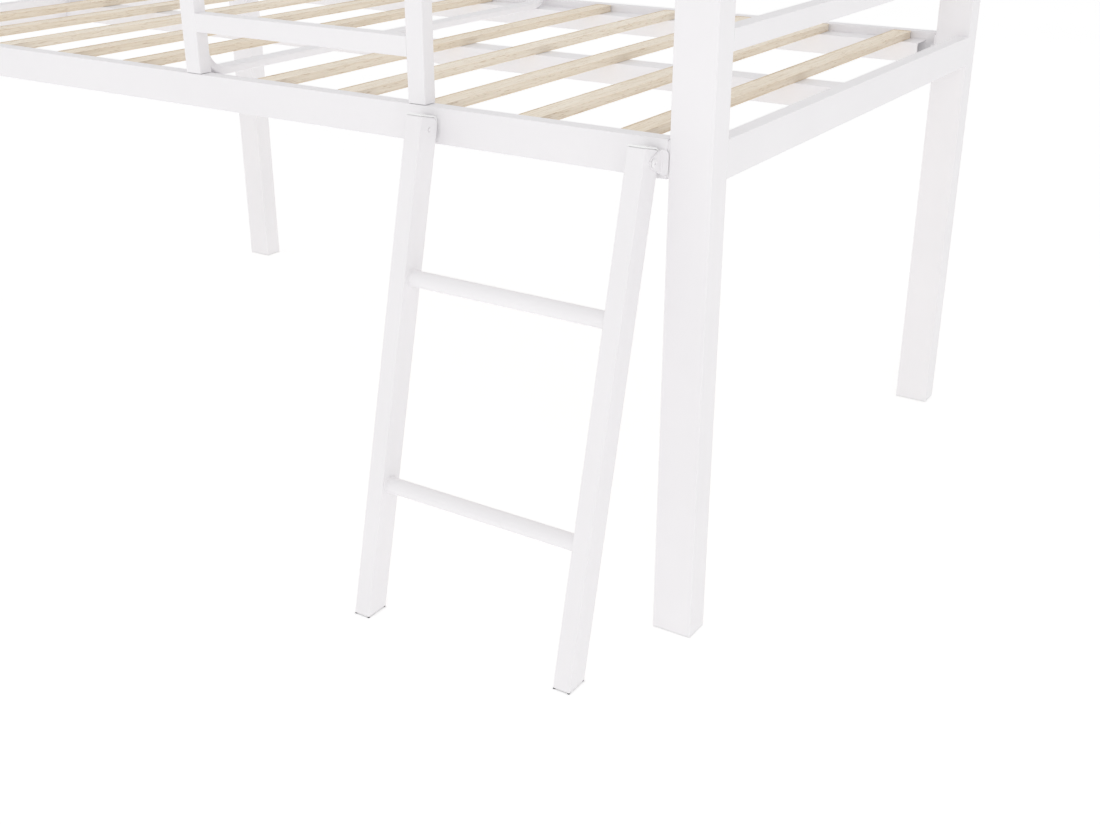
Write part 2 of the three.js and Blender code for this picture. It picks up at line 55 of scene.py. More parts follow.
millimetre = 0.001
touch_gap = 0.3 * millimetre  # Left between pieces that touch
post_wall = 2 * millimetre
post_corner = 1.2 * millimetre
guard_post_corner = 1 * millimetre
tube_wall = 1.5 * millimetre
tube_corner = 1 * millimetre
rim_ease = 0.3 * millimetre  # Rounding of a cut tube's rim
foot_seam = 0.8 * millimetre  # Seen under the guard posts' feet
plug_depth = 16 * millimetre
plug_ease = 1 * millimetre
plug_edge = 0.45  # Rounding of a plug's rim, as a share of its flange's thickness
plug_shoulder = 0.85  # Where that rounding ends, as a share of the same
corner_steps = 6  # Points in each quarter of a rounded corner
least_corner = 0.2 * millimetre  # Of an inner outline, where the wall uses its corner up
ease_steps = 3  # Points in the rounding of a plate's edge
sharp_angle = math.radians(35)  # Edges that turn by more stay crisp

flange_thick = 3 * millimetre
flange_margin = 1 * millimetre
flange_corner = 3 * millimetre
seat_thick = 3 * millimetre
seat_margin = 4 * millimetre
seat_length = 50 * millimetre
seat_corner = 6 * millimetre
seat_weld_length = 12 * millimetre

slat_corner = 4 * millimetre
slat_ease = 1.2 * millimetre
beam_thick = 13.5 * millimetre
beam_bend = 40 * millimetre
beam_corner = 2.5 * millimetre
beam_bend_steps = 14

stile_corner = 1 * millimetre
top_round = 12 * millimetre
cap_thick = 2.7 * millimetre
cap_turn = math.radians(88.5)  # How far a cap turns down over the rear corner
pad_thick = 1.5 * millimetre
pad_plug = 18 * millimetre
pad_lobe = 2.5 * millimetre  # Reach of a pad's corners, where it isn't drawn in
pad_recess = 3 * millimetre

bolt_steps = 48  # Points round a bolt or a nut
bolt_tip = 0.8 * millimetre  # Chamfer at a bolt's end
hole_steps = 32
rail_shank_radius = 3.9 * millimetre
rail_hole_radius = 4.4 * millimetre
washer_radius = 9 * millimetre
washer_thick = 1.6 * millimetre
rail_hexagon_radius = 7.5 * millimetre
pivot_shank_radius = 2.9 * millimetre
pivot_hole_radius = 3.3 * millimetre
pivot_hexagon_radius = 5.8 * millimetre
button_radius = 6.2 * millimetre
button_thick = 3.6 * millimetre
socket_radius = 1.8 * millimetre
socket_depth = 1.6 * millimetre
socket_ease = 0.3 * millimetre
nut_bore_radius = pivot_hole_radius - 0.2 * millimetre
nut_mouth_radius = pivot_hole_radius + 0.3 * millimetre
nut_mouth_depth = 0.4 * millimetre
bracket_thick = 2 * millimetre
ear_gap = 0.06 * millimetre  # Between a bracket's ear and its stile
bracket_corner = 7 * millimetre
bracket_nose = 7.5 * millimetre

bead_radius = 1.7 * millimetre
guard_bead = 0.7 * bead_radius
rung_bead = 0.75 * bead_radius
bracket_bead = 0.55 * bead_radius
bead_ripple = 2.2 * millimetre  # Length of one ripple along a weld
bead_swell = 0.12  # Height of a ripple, as a share of the radius
bead_end = 0.45  # Radius at a weld's ends, as a share of the radius
bead_steps = 10  # Points round a weld
stitch_length = 28 * millimetre
rung_steps = 56  # Points round a rung

# The photograph's view, found from its vanishing points

camera_place = (1.7845, -2.0762, 1.1814)
camera_tilt = math.radians(66.008)
camera_turn = math.radians(32.943)
camera_lens = 44.916  # For a sensor 36 wide


# Points and rings

# How a part drawn along z turns to lie along x or y. Its section's two directions become y and z
# for a part along x, and z and x for one along y.
turned = {
    "x": Matrix(((0, 0, 1), (1, 0, 0), (0, 1, 0))).to_4x4(),
    "y": Matrix(((0, 1, 0), (0, 0, 1), (1, 0, 0))).to_4x4(),
    "z": Matrix.Identity(4),
}


def drawn_sizes(axis, size):
    """Width, height and length of a bar along an axis, from its sizes in x, y and z."""
    return turned[axis].to_3x3().transposed() @ size


def rounded_outline(width, height, corner, steps=corner_steps, splits=0):
    """Points round a rounded rectangle about its middle. Splits add points to its straight sides."""
    corner = max(corner, least_corner)
    across = width / 2 - corner
    up = height / 2 - corner
    quarters = []
    for quarter, (x, y) in enumerate([(1, 1), (-1, 1), (-1, -1), (1, -1)]):
        turns = [(quarter + step / steps) * math.pi / 2 for step in range(steps + 1)]
        quarters.append([
            Vector((x * across + corner * math.cos(turn), y * up + corner * math.sin(turn)))
            for turn in turns
        ])
    points = []
    for here, after in zip(quarters, quarters[1:] + quarters[:1]):
        points += here
        points += [here[-1].lerp(after[0], s / (splits + 1)) for s in range(1, splits + 1)]
    return points


def ring(outline, height=0.0):
    """An outline lifted to a height. The height may be a function of the outline's y."""
    return [Vector((p.x, p.y, height(p.y) if callable(height) else height)) for p in outline]


def round_outline(radius, steps=40):
    return [
        Vector((radius * math.cos(math.tau * i / steps), radius * math.sin(math.tau * i / steps)))
        for i in range(steps)
    ]


def hexagon_outline(radius, limit=math.inf):
    """A hexagon, cut back to a circle of the limit's radius where it reaches past that."""
    points = []
    for i in range(bolt_steps):
        turn = math.tau * i / bolt_steps
        from_flat = (turn + math.pi / 6) % (math.pi / 3) - math.pi / 6
        reach = min(radius * math.cos(math.pi / 6) / math.cos(from_flat), limit)
        points.append(Vector((reach * math.cos(turn), reach * math.sin(turn))))
    return points


def skin(shape, rings, closed=False):
    """Faces through rings of points. The ends get a face each, or meet each other when closed."""
    loops = [[shape.verts.new(point) for point in ring_points] for ring_points in rings]
    following = loops[1:] + loops[:1] if closed else loops[1:]
    for near, far in zip(loops, following):
        for i in range(len(near)):
            shape.faces.new((near[i - 1], near[i], far[i], far[i - 1]))
    if not closed:
        shape.faces.new(loops[0])
        shape.faces.new(loops[-1])


def tube_rings(width, height, length, wall, corner):
    """Rings of a tube along z about its middle: up the outside and down the inside."""
    half = length / 2
    eased = half - rim_ease
    stations = [(-eased, 0), (eased, 0), (half, rim_ease), (half, wall), (-half, wall), (-half, rim_ease)]
    return [
        ring(rounded_outline(width - 2 * inset, height - 2 * inset, corner - inset), z)
        for z, inset in stations
    ]


def plate_rings(outline_of, thick, ease):
    """Rings of a plate from z = 0 up, its edges rounded. outline_of gives its outline for an inset."""
    quarter = [math.pi / 2 * i / ease_steps for i in range(ease_steps + 1)]
    lower = [(ease * (1 - math.sin(t)), ease * (1 - math.cos(t))) for t in quarter]
    upper = [(thick - z, inset) for z, inset in reversed(lower)]
    return [ring(outline_of(inset), z) for z, inset in lower + upper]


def round_hole(outline, centre, radius):
    """A circle with a point in line with each point of the outline round it."""
    return [centre + radius * (point - centre).normalized() for point in outline]


# Pieces


def finish_piece(name, shape, material, place=Matrix.Identity(4), body="frame", nodes=(), holes=()):
    """Turns a bmesh into a piece that rides on a body and stands for the nodes.

    Each hole is given by its radius, its middle and the length of the drill.
    """
    bmesh.ops.recalc_face_normals(shape, faces=shape.faces)
    mesh = bpy.data.meshes.new(name)
    shape.to_mesh(mesh)
    shape.free()
    mesh.transform(place)
    mesh.materials.append(material)
    piece = bpy.data.objects.new(name, mesh)
    bpy.context.scene.collection.objects.link(piece)
    for hole in holes:
        drill(piece, *hole)
    piece.data.shade_smooth()
    piece.data.set_sharp_from_angle(angle=sharp_angle)
    even = piece.modifiers.new("Even normals", "WEIGHTED_NORMAL")
    even.keep_sharp = True
    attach(piece, body)
    if nodes:
        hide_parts(*nodes)


def drill(piece, radius, middle, length):
    """Cuts a round hole along x through a piece."""
    shape = bmesh.new()
    outline = round_outline(radius, hole_steps)
    skin(shape, [ring(outline, -length / 2), ring(outline, length / 2)])
    bmesh.ops.recalc_face_normals(shape, faces=shape.faces)
    mesh = bpy.data.meshes.new("drill")
    shape.to_mesh(mesh)
    shape.free()
    mesh.transform(Matrix.Translation(middle) @ turned["x"])
    cutter = bpy.data.objects.new("drill", mesh)
    bpy.context.scene.collection.objects.link(cutter)
    cut = piece.modifiers.new("Cut", "BOOLEAN")
    cut.operation = "DIFFERENCE"
    cut.solver = "EXACT"
    cut.object = cutter
    bpy.context.view_layer.update()
    drilled = bpy.data.meshes.new_from_object(piece.evaluated_get(bpy.context.evaluated_depsgraph_get()))
    piece.modifiers.remove(cut)
    piece.data = drilled
    bpy.data.objects.remove(cutter)


def middle_of(node):
    low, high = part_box(node)
    return (low + high) / 2


def size_of(node):
    low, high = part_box(node)
    return high - low


def box_in(node, place):
    """The lowest and highest corner of a CAD node in another frame's directions."""
    inverse = place.inverted()
    corners = [inverse @ vertex.co for vertex in frame["nodes"][node].data.vertices]
    low = Vector(min(c[i] for c in corners) for i in range(3))
    high = Vector(max(c[i] for c in corners) for i in range(3))
    return low, high


def bead(shape, points, side, radius=bead_radius, closed=False):
    """A weld along points: a rippled roll. Side is a direction square to every part of the path."""
    count = len(points)
    rings = []
    travelled = 0.0
    for i, point in enumerate(points):
        before = points[i - 1] if closed or i else point
        after = points[(i + 1) % count] if closed or i < count - 1 else point
        forward = (after - before).normalized()
        outward = forward.cross(side)
        travelled += (point - before).length if i else 0.0
        swell = radius * (1 + bead_swell * math.sin(math.tau * travelled / bead_ripple))
        if not closed and i in (0, count - 1):
            swell *= bead_end
        rings.append([
            point + swell * (math.cos(turn) * outward + math.sin(turn) * side)
            for turn in (math.tau * k / bead_steps for k in range(bead_steps))
        ])
    skin(shape, rings, closed)


def path_between(start, end):
    """Points from start to end, close enough together to show a weld's ripples."""
    count = max(2, round((end - start).length / (bead_ripple / 4)))
    return [start.lerp(end, i / count) for i in range(count + 1)]


# Materials


def new_material(name):
    """A material with its shader, a place to read the piece's own coordinates from, and its nodes."""
    material = bpy.data.materials.new(name)
    material.use_nodes = True
    nodes = material.node_tree.nodes
    shader = next(node for node in nodes if node.type == "BSDF_PRINCIPLED")
    place = nodes.new("ShaderNodeTexCoord").outputs["Object"]
    return material, shader, place


def link(material, source, target):
    material.node_tree.links.new(source, target)


def noise(material, place, scale, detail=2.0, stretch=(1, 1, 1), distortion=0.0):
    """Smooth noise with so many lumps to a metre, drawn out along the stretch."""
    nodes = material.node_tree.nodes
    mapping = nodes.new("ShaderNodeMapping")
    mapping.inputs["Scale"].default_value = stretch
    texture = nodes.new("ShaderNodeTexNoise")
    texture.inputs["Scale"].default_value = scale
    texture.inputs["Detail"].default_value = detail
    texture.inputs["Distortion"].default_value = distortion
    link(material, place, mapping.inputs["Vector"])
    link(material, mapping.outputs["Vector"], texture.inputs["Vector"])
    return texture.outputs["Fac"]


def ramp(material, value, stops):
    """Colours by a value from 0 to 1. Stops are (position, colour)."""
    node = material.node_tree.nodes.new("ShaderNodeValToRGB")
    elements = node.color_ramp.elements
    while len(elements) < len(stops):
        elements.new(1)
    for element, (position, colour) in zip(elements, stops):
        element.position = position
        element.color = (*colour, 1)
    link(material, value, node.inputs["Fac"])
    return node.outputs["Color"]


def mix(material, blend, amount, first, second):
    """Two colours mixed. The amount is a number or another node's output."""
    node = material.node_tree.nodes.new("ShaderNodeMix")
    node.data_type = "RGBA"
    node.blend_type = blend
    if isinstance(amount, float):
        node.inputs["Factor"].default_value = amount
    else:
        link(material, amount, node.inputs["Factor"])
    link(material, first, node.inputs[6])
    link(material, second, node.inputs[7])
    return node.outputs[2]


def between(material, value, low, high):
    """A value from 0 to 1 moved to a range."""
    node = material.node_tree.nodes.new("ShaderNodeMapRange")
    node.inputs["To Min"].default_value = low
    node.inputs["To Max"].default_value = high
    link(material, value, node.inputs["Value"])
    return node.outputs["Result"]


def bump(material, shader, heights):
    """Surface relief: (value, depth in metres) pairs, one on top of the other."""
    normal = None
    for value, depth in heights:
        node = material.node_tree.nodes.new("ShaderNodeBump")
        node.inputs["Strength"].default_value = 1
        node.inputs["Distance"].default_value = depth
        link(material, value, node.inputs["Height"])
        if normal:
            link(material, normal, node.inputs["Normal"])
        normal = node.outputs["Normal"]
    link(material, normal, shader.inputs["Normal"])


def grey(value, warmth=0.0):
    """A near-neutral colour, warmer or cooler by a little."""
    return (value * (1 + warmth), value, value * (1 - warmth))


def powder_coat():
    """White paint baked on steel: satin, with a fine orange peel and a faint drift of tone."""
    material, shader, place = new_material("White powder coat")
    drift = noise(material, place, 5, 3)
    tone = ramp(material, drift, [(0.3, (0.89, 0.875, 0.89)), (0.7, (0.915, 0.90, 0.915))])
    link(material, tone, shader.inputs["Base Color"])
    gloss = noise(material, place, 45, 2)
    link(material, between(material, gloss, 0.34, 0.46), shader.inputs["Roughness"])
    peel = noise(material, place, 420, 2)
    grit = noise(material, place, 1600, 1)
    bump(material, shader, [(peel, 0.03 * millimetre), (grit, 0.012 * millimetre)])
    shader.inputs["Specular IOR Level"].default_value = 0.25
    return material


def satin_plastic():
    """Moulded white plastic with a fine spark-eroded texture."""
    material, shader, place = new_material("White satin plastic")
    drift = noise(material, place, 60, 2)
    tone = ramp(material, drift, [(0.3, grey(0.89, 0.0)), (0.7, grey(0.92, 0.004))])
    link(material, tone, shader.inputs["Base Color"])
    link(material, between(material, drift, 0.44, 0.56), shader.inputs["Roughness"])
    grain = noise(material, place, 2500, 1)
    bump(material, shader, [(grain, 0.02 * millimetre)])
    return material


def dark_plastic():
    """Moulded dark grey plastic, dull, with light scuffs from the floor."""
    material, shader, place = new_material("Dark plastic")
    scuffs = noise(material, place, 300, 3, (1, 6, 1))
    tone = ramp(material, scuffs, [(0.4, grey(0.035)), (0.8, grey(0.085))])
    link(material, tone, shader.inputs["Base Color"])
    link(material, between(material, scuffs, 0.5, 0.75), shader.inputs["Roughness"])
    grain = noise(material, place, 2500, 1)
    bump(material, shader, [(grain, 0.03 * millimetre)])
    return material


def zinc_steel():
    """Zinc-plated steel: bright, slightly cloudy, with fine turning marks."""
    material, shader, place = new_material("Zinc-plated steel")
    cloud = noise(material, place, 220, 3)
    tone = ramp(material, cloud, [(0.3, (0.80, 0.81, 0.83)), (0.7, (0.90, 0.90, 0.91))])
    link(material, tone, shader.inputs["Base Color"])
    link(material, between(material, cloud, 0.28, 0.42), shader.inputs["Roughness"])
    marks = noise(material, place, 900, 1, (8, 1, 1))
    bump(material, shader, [(marks, 0.01 * millimetre)])
    shader.inputs["Metallic"].default_value = 1
    return material


def pale_wood():
    """Pale poplar, sanded: long fine grain along y, soft figure, short pores, and sides painted darker than
    the tops as shade.
    """
    material, shader, place = new_material("Pale poplar")
    nodes = material.node_tree.nodes
    board = noise(material, place, 5.3, 1, (1, 0.12, 0.12))
    board_tone = ramp(material, board, [(0.32, (0.93, 0.835, 0.70)), (0.68, (0.98, 0.905, 0.79))])
    figure = noise(material, place, 34, 3, (1, 0.06, 1), 1.6)
    figure_tone = ramp(material, figure, [
        (0.34, (0.95, 0.93, 0.90)), (0.5, (1.0, 1.0, 1.0)), (0.62, (0.97, 0.955, 0.93)),
    ])
    colour = mix(material, "MULTIPLY", 1.0, board_tone, figure_tone)
    grain = noise(material, place, 420, 4, (1, 0.025, 1))
    grain_tone = ramp(material, grain, [(0.3, (0.90, 0.87, 0.82)), (0.55, (1.0, 1.0, 1.0))])
    colour = mix(material, "MULTIPLY", 0.8, colour, grain_tone)
    pores = noise(material, place, 900, 2, (1, 0.05, 1))
    pore_tone = ramp(material, pores, [(0.30, (0.62, 0.50, 0.38)), (0.40, (1.0, 1.0, 1.0))])
    colour = mix(material, "MULTIPLY", 0.7, colour, pore_tone)
    # Painted shade: faces that point neither up nor down are darkened, so the slats' sides show darker than
    # their tops.
    split = nodes.new("ShaderNodeSeparateXYZ")
    texture_place = nodes.new("ShaderNodeTexCoord")
    link(material, texture_place.outputs["Normal"], split.inputs["Vector"])
    sideways = nodes.new("ShaderNodeMath")
    sideways.operation = "ABSOLUTE"
    link(material, split.outputs["Z"], sideways.inputs[0])
    painted_side_shade = ramp(material, sideways.outputs["Value"], [(0.25, (0.88, 0.87, 0.86)), (0.75, (1, 1, 1))])
    colour = mix(material, "MULTIPLY", 1.0, colour, painted_side_shade)
    link(material, colour, shader.inputs["Base Color"])
    link(material, between(material, grain, 0.62, 0.5), shader.inputs["Roughness"])
    bump(material, shader, [(grain, 0.05 * millimetre), (pores, 0.06 * millimetre)])
    shader.inputs["Specular IOR Level"].default_value = 0.35
    return material


paint = powder_coat()
white_plastic = satin_plastic()
pad_plastic = dark_plastic()
steel = zinc_steel()
wood = pale_wood()

# Places taken from the frame

ends = {"right": 1, "left": -1}
sides = {"front": -1, "back": 1}
front_guard_bars = ("front_lower_guard_bar", "front_left_guard_bar", "front_upper_guard_rail")
back_guard_bars = ("back_lower_guard_bar", "back_upper_guard_rail")
slat_nodes = sorted(name for name in frame["nodes"] if name.startswith("slat_"))
rail_thick = size_of("front_lower_guard_bar").y
rail_height = size_of("front_side_rail").z
rail_middle = middle_of("front_side_rail").z
bed_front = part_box("front_side_rail")[0].y
bed_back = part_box("back_side_rail")[1].y


def face_y(side):
    """The y of the bed's front or back face."""
    return bed_front if side < 0 else bed_back


# Straight tubes of the bed


def fine_tube(node, axis, wall=tube_wall, corner=tube_corner, welded=False, holes=()):
    """A tube in place of a node. A welded one reaches its neighbours at both ends."""
    width, height, length = drawn_sizes(axis, size_of(node))
    if welded:
        length += 2 * touch_gap
    shape = bmesh.new()
    skin(shape, tube_rings(width, height, length, wall, corner), closed=True)
    place = Matrix.Translation(middle_of(node)) @ turned[axis]
    finish_piece(f"fine_{node}", shape, paint, place, nodes=[node], holes=holes)


def post_pieces():
    """Posts, each with the hole for its rail bolt."""
    for side in sides:
        for end, direction in ends.items():
            bolt = middle_of(f"rail_bolt_{side}_{end}")
            inner_face = middle_of(f"post_{side}_{end}").x - direction * size_of(f"post_{side}_{end}").x / 2
            hole = (rail_hole_radius, Vector((inner_face, bolt.y, bolt.z)), 6 * post_wall)
            fine_tube(f"post_{side}_{end}", "z", post_wall, post_corner, holes=[hole])


def guard_post(node):
    """A guard post that stands on the front rail with a fine open seam under its foot."""
    low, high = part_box(node)
    bottom = low.z + foot_seam - touch_gap
    shape = bmesh.new()
    rings = tube_rings(high.x - low.x, high.y - low.y, high.z - bottom, tube_wall, guard_post_corner)
    skin(shape, rings, closed=True)
    place = Matrix.Translation(((low.x + high.x) / 2, (low.y + high.y) / 2, (bottom + high.z) / 2))
    finish_piece(f"fine_{node}", shape, paint, place, nodes=[node])


def straight_tubes():
    for node in ("front_slat_ledge", "back_slat_ledge", "centre_support_rail"):
        fine_tube(node, "x")
    for node in front_guard_bars + back_guard_bars:
        fine_tube(node, "x", welded=True)
    for end in ends:
        fine_tube(f"{end}_lower_guard_bar", "y", welded=True)
        fine_tube(f"{end}_upper_guard_rail", "y", welded=True)
    for node in ("guard_post_middle", "guard_post_by_ladder"):
        guard_post(node)


# Plugs that close the posts


def plug_piece(node, wall, corner, flange, upward):
    """A plug with a rounded flange and a stem inside the tube. Upward is 1 or -1."""
    low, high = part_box(node)
    width, depth, _ = high - low
    edge = plug_edge * flange
    rim = plug_shoulder * flange - edge
    quarter = [math.pi / 2 * i / 4 for i in range(5)]
    stations = [(0, 0), (rim, 0)]
    stations += [(rim + edge * math.sin(turn), edge * (1 - math.cos(turn))) for turn in quarter]
    # The low dome above the rim: how high it is, and how far in from the sides
    reach = min(width, depth) / 2
    stations += [(0.93 * flange, 0.35 * reach), (0.98 * flange, 0.65 * reach), (flange, 0.85 * reach)]
    shape = bmesh.new()
    skin(shape, [
        ring(rounded_outline(width - 2 * inset, depth - 2 * inset, corner - inset), z)
        for z, inset in stations
    ])
    stem = wall + touch_gap
    stem_stations = [(0.4 * flange, stem), (-plug_depth + plug_ease, stem), (-plug_depth, stem + plug_ease)]
    skin(shape, [
        ring(rounded_outline(width - 2 * inset, depth - 2 * inset, corner - inset), z)
        for z, inset in stem_stations
    ])
    seat = high.z - flange if upward > 0 else low.z + flange
    middle = (low + high) / 2
    place = Matrix.Translation((middle.x, middle.y, seat)) @ Matrix.Scale(upward, 4, (0, 0, 1))
    finish_piece(f"fine_{node}", shape, white_plastic, place, nodes=[node])


def plugs():
    for side in sides:
        for end in ends:
            post_low, post_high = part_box(f"post_{side}_{end}")
            cap = f"post_cap_{side}_{end}"
            foot = f"post_foot_{side}_{end}"
            cap_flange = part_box(cap)[1].z - post_high.z - touch_gap
            foot_flange = post_low.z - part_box(foot)[0].z - touch_gap
            plug_piece(cap, post_wall, post_corner, cap_flange, 1)
            plug_piece(foot, post_wall, post_corner, foot_flange, -1)
    guard_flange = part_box("guard_post_cap")[1].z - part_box("guard_post_by_ladder")[1].z - touch_gap
    plug_piece("guard_post_cap", tube_wall, guard_post_corner, guard_flange, 1)


# Deck rails


def side_rail(side_name, side):
    """A side rail with a bolted plate at each end, and a weld up the inner side of each joint."""
    node = f"{side_name}_side_rail"
    low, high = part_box(node)
    length = high.x - low.x
    middle_y = face_y(side) - side * rail_thick / 2
    shape = bmesh.new()
    rings = tube_rings(rail_thick, rail_height, length - 2 * flange_thick, tube_wall, tube_corner)
    skin(shape, [[turned["x"] @ point for point in points] for points in rings], closed=True)
    plate_width = (high.y - low.y) - flange_margin
    plate_height = rail_height - 2 * flange_margin
    plate_y = -side * ((high.y - low.y) / 2 - rail_thick / 2 + flange_margin / 2)
    end_thick = flange_thick + touch_gap

    def plate_outline(inset):
        size = Vector((plate_width - 2 * inset, plate_height - 2 * inset))
        return rounded_outline(size.x, size.y, flange_corner - inset, splits=6)

    for end, direction in ends.items():
        bolt = middle_of(f"rail_bolt_{side_name}_{end}")
        centre = Vector((bolt.y - middle_y - plate_y, bolt.z - rail_middle))
        hole = round_hole(plate_outline(0), centre, rail_hole_radius)
        plate = plate_rings(plate_outline, end_thick, rim_ease)
        plate += [ring(hole, end_thick), ring(hole, 0)]
        turn = Matrix.Scale(direction, 4, (1, 0, 0)) @ turned["x"]
        shift = Matrix.Translation((direction * (length / 2 - flange_thick), plate_y, 0))
        skin(shape, [[shift @ turn @ point for point in points] for points in plate], closed=True)
    place = Matrix.Translation((0, middle_y, rail_middle))
    finish_piece(f"fine_{node}", shape, paint, place, nodes=[node])
    for end, direction in ends.items():
        x = direction * (length / 2 - flange_thick)
        y = middle_y - side * rail_thick / 2
        top = rail_middle + rail_height / 2 - tube_corner
        bottom = rail_middle - rail_height / 2 + tube_corner
        shape = bmesh.new()
        bead(shape, path_between(Vector((x, y, bottom)), Vector((x, y, top))), Vector((1, 0, 0)))
        finish_piece(f"weld_{side_name}_rail_{end}", shape, paint)


def end_rail(name, end):
    """An end rail, with the seat for the centre rail welded under it."""
    node = f"{name}_end_rail"
    low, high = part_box(node)
    outer = high.x if end > 0 else low.x
    inner = low.x if end > 0 else high.x
    middle = Vector((outer - end * rail_thick / 2, (low.y + high.y) / 2, rail_middle))
    shape = bmesh.new()
    length = high.y - low.y + 2 * touch_gap
    rings = tube_rings(rail_height, rail_thick, length, tube_wall, tube_corner)
    skin(shape, [[turned["y"] @ point for point in points] for points in rings], closed=True)
    centre_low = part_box("centre_support_rail")[0]
    seat_width = size_of("centre_support_rail").y + 2 * seat_margin
    seat_bottom = centre_low.z - touch_gap - seat_thick - rail_middle
    seat_x = inner + end * seat_length / 2 - middle.x

    def seat_outline(inset):
        return rounded_outline(seat_length - 2 * inset, seat_width - 2 * inset, seat_corner - inset)

    shift = Matrix.Translation((seat_x, 0, seat_bottom))
    seat = plate_rings(seat_outline, seat_thick, rim_ease)
    skin(shape, [[shift @ point for point in points] for points in seat])
    place = Matrix.Translation(middle)
    finish_piece(f"fine_{node}", shape, paint, place, nodes=[node])
    weld = bmesh.new()
    for direction in (-1, 1):
        y = middle.y + direction * seat_width / 2
        z = rail_middle - rail_height / 2
        start = Vector((outer - end * rail_thick + end * tube_corner, y, z))
        finish = start + Vector((end * seat_weld_length, 0, 0))
        bead(weld, path_between(start, finish), Vector((0, 0, 1)))
    finish_piece(f"weld_{name}_seat", weld, paint)


def rail_bolt(side, end, direction):
    """A hexagon bolt with its washer, its head towards the bed's middle."""
    node = f"rail_bolt_{side}_{end}"
    low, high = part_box(node)
    rail_low, rail_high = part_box(f"{side}_side_rail")
    head_side = low.x if direction > 0 else high.x
    far_end = high.x if direction > 0 else low.x
    rail_end = rail_high.x if direction > 0 else rail_low.x
    seat = rail_end - direction * (flange_thick + touch_gap)
    head_thick = abs(head_side - seat) - washer_thick
    shank_length = abs(far_end - seat)
    shape = bmesh.new()

    def washer_outline(inset):
        return round_outline(washer_radius - inset, bolt_steps)

    skin(shape, plate_rings(washer_outline, washer_thick, rim_ease))
    # The head from its seat up: eased, full, then chamfered to a round flat
    chamfer = 0.12 * head_thick
    head_top = washer_thick + head_thick
    flat_radius = rail_hexagon_radius * math.cos(math.pi / 6)
    full = hexagon_outline(rail_hexagon_radius)
    blunt = hexagon_outline(rail_hexagon_radius, flat_radius * 1.07)
    skin(shape, [
        ring(round_outline(flat_radius * 0.98, bolt_steps), washer_thick),
        ring(blunt, washer_thick + chamfer),
        ring(full, washer_thick + 2.5 * chamfer),
        ring(full, head_top - 3.5 * chamfer),
        ring(blunt, head_top - 1.8 * chamfer),
        ring(round_outline(flat_radius * 0.96, bolt_steps), head_top - 0.4 * chamfer),
        ring(round_outline(flat_radius * 0.90, bolt_steps), head_top),
    ])
    skin(shape, [
        ring(round_outline(rail_shank_radius), washer_thick / 2),
        ring(round_outline(rail_shank_radius), -shank_length + bolt_tip),
        ring(round_outline(rail_shank_radius - bolt_tip), -shank_length),
    ])
    middle = (low + high) / 2
    place = Matrix.Translation((seat, middle.y, middle.z)) @ Matrix.Scale(-direction, 4, (1, 0, 0))
    finish_piece(f"fine_{node}", shape, paint, place @ turned["x"], nodes=[node])


def deck_rails():
    for side_name, side in sides.items():
        side_rail(side_name, side)
        for end, direction in ends.items():
            rail_bolt(side_name, end, direction)
    for name, end in ends.items():
        end_rail(name, end)


def stitch_welds():
    """Short welds between each slat ledge and its side rail, halfway between the slats."""
    slat_places = sorted(middle_of(node).x for node in slat_nodes)
    for side_name, side in sides.items():
        ledge_low, ledge_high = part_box(f"{side_name}_slat_ledge")
        y = ledge_low.y if side < 0 else ledge_high.y
        shape = bmesh.new()
        for here, following in zip(slat_places, slat_places[1:]):
            middle = Vector(((here + following) / 2, y, ledge_high.z))
            half = Vector((stitch_length / 2, 0, 0))
            bead(shape, path_between(middle - half, middle + half), Vector((0, 0, 1)))
        finish_piece(f"weld_{side_name}_ledge", shape, paint)


# Slats


def slats():
    for node in slat_nodes:
        low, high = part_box(node)
        size = high - low

        def outline(inset):
            return rounded_outline(size.x - 2 * inset, size.y - 2 * inset, slat_corner - inset, steps=10)

        shape = bmesh.new()
        skin(shape, plate_rings(outline, size.z, slat_ease))
        place = Matrix.Translation(((low.x + high.x) / 2, (low.y + high.y) / 2, low.z))
        finish_piece(f"fine_{node}", shape, wood, place, nodes=[node])


# Cross-beam


def cross_beam():
    """A flat tube across the deck whose two ends turn up inside the side rails."""
    low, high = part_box("middle_cross_beam")
    bend = beam_bend + beam_thick / 2
    front = low.y + beam_thick / 2
    back = high.y - beam_thick / 2
    bottom = low.z + beam_thick / 2
    quarter = [math.pi / 2 * i / beam_bend_steps for i in range(beam_bend_steps + 1)]
    path = [((front, high.z), -math.pi / 2)]
    path += [
        ((front + bend - bend * math.cos(t), bottom + bend - bend * math.sin(t)), t - math.pi / 2)
        for t in quarter
    ]
    path += [
        ((back - bend + bend * math.sin(t), bottom + bend - bend * math.cos(t)), t) for t in quarter
    ]
    path.append(((back, high.z), math.pi / 2))

    def section(inset, place, slope):
        y, z = place
        outline = rounded_outline(high.x - low.x - 2 * inset, beam_thick - 2 * inset, beam_corner - inset)
        upward = Vector((0, -math.sin(slope), math.cos(slope)))
        return [Vector((p.x, y, z)) + p.y * upward for p in outline]

    shape = bmesh.new()
    outside = [section(0, place, slope) for place, slope in path]
    inside = [section(tube_wall, place, slope) for place, slope in reversed(path)]
    skin(shape, outside + inside, closed=True)
    place = Matrix.Translation(((low.x + high.x) / 2, 0, 0))
    finish_piece("fine_middle_cross_beam", shape, paint, place, nodes=["middle_cross_beam"])


# Welds of the guards, on the inner side of each joint


def upright_welds(node, corners, side):
    """Upright welds at two corners of a bar, each an (x, y), and square to the side."""
    low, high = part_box(node)
    shape = bmesh.new()
    for x, y in corners:
        foot = Vector((x, y, low.z + tube_corner))
        head = foot + Vector((0, 0, high.z - low.z - 2 * tube_corner))
        bead(shape, path_between(foot, head), side, radius=guard_bead)
    finish_piece(f"weld_{node}", shape, paint)


